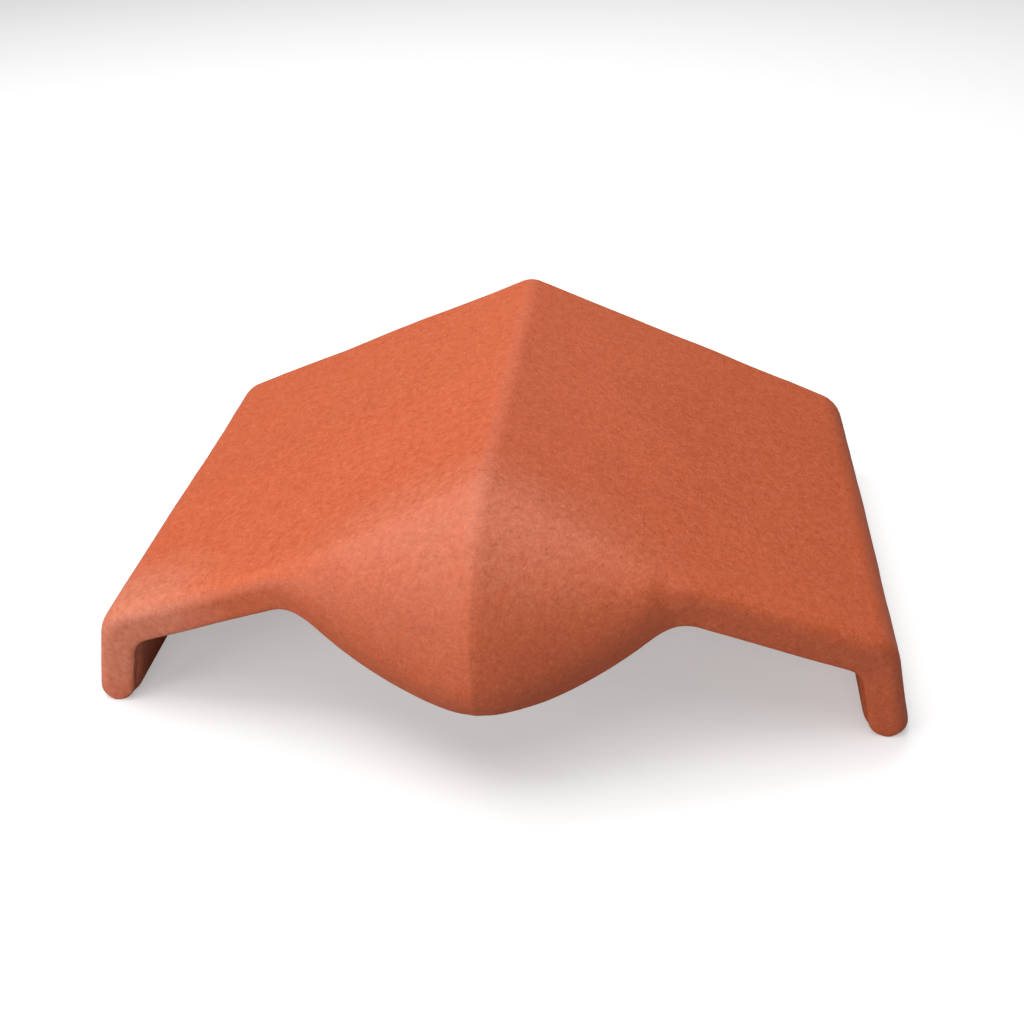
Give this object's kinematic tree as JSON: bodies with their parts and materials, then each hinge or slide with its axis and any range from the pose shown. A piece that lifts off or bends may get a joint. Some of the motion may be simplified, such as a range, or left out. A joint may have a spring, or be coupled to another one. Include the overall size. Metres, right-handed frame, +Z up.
{
  "type": "decorative ridge tile",
  "caption": "Angular clay ridge tile with two sloping faces, short splayed side legs and a pointed beak that hangs from the front of its ridge; hollow underneath.",
  "frame": {"origin": "centre of the bounding box in plan, at the height of the soles of the two legs", "axes": "+X across the tile from one leg to the other, +Y along the ridge away from the beak, +Z up"},
  "size_m": [0.258, 0.1976, 0.0833],
  "materials": {
    "terracotta": "unglazed fired clay, matt, fine sandy grain"
  },
  "bodies": {
    "root": {"ridge_tile": "terracotta"}
  },
  "joints": []
}
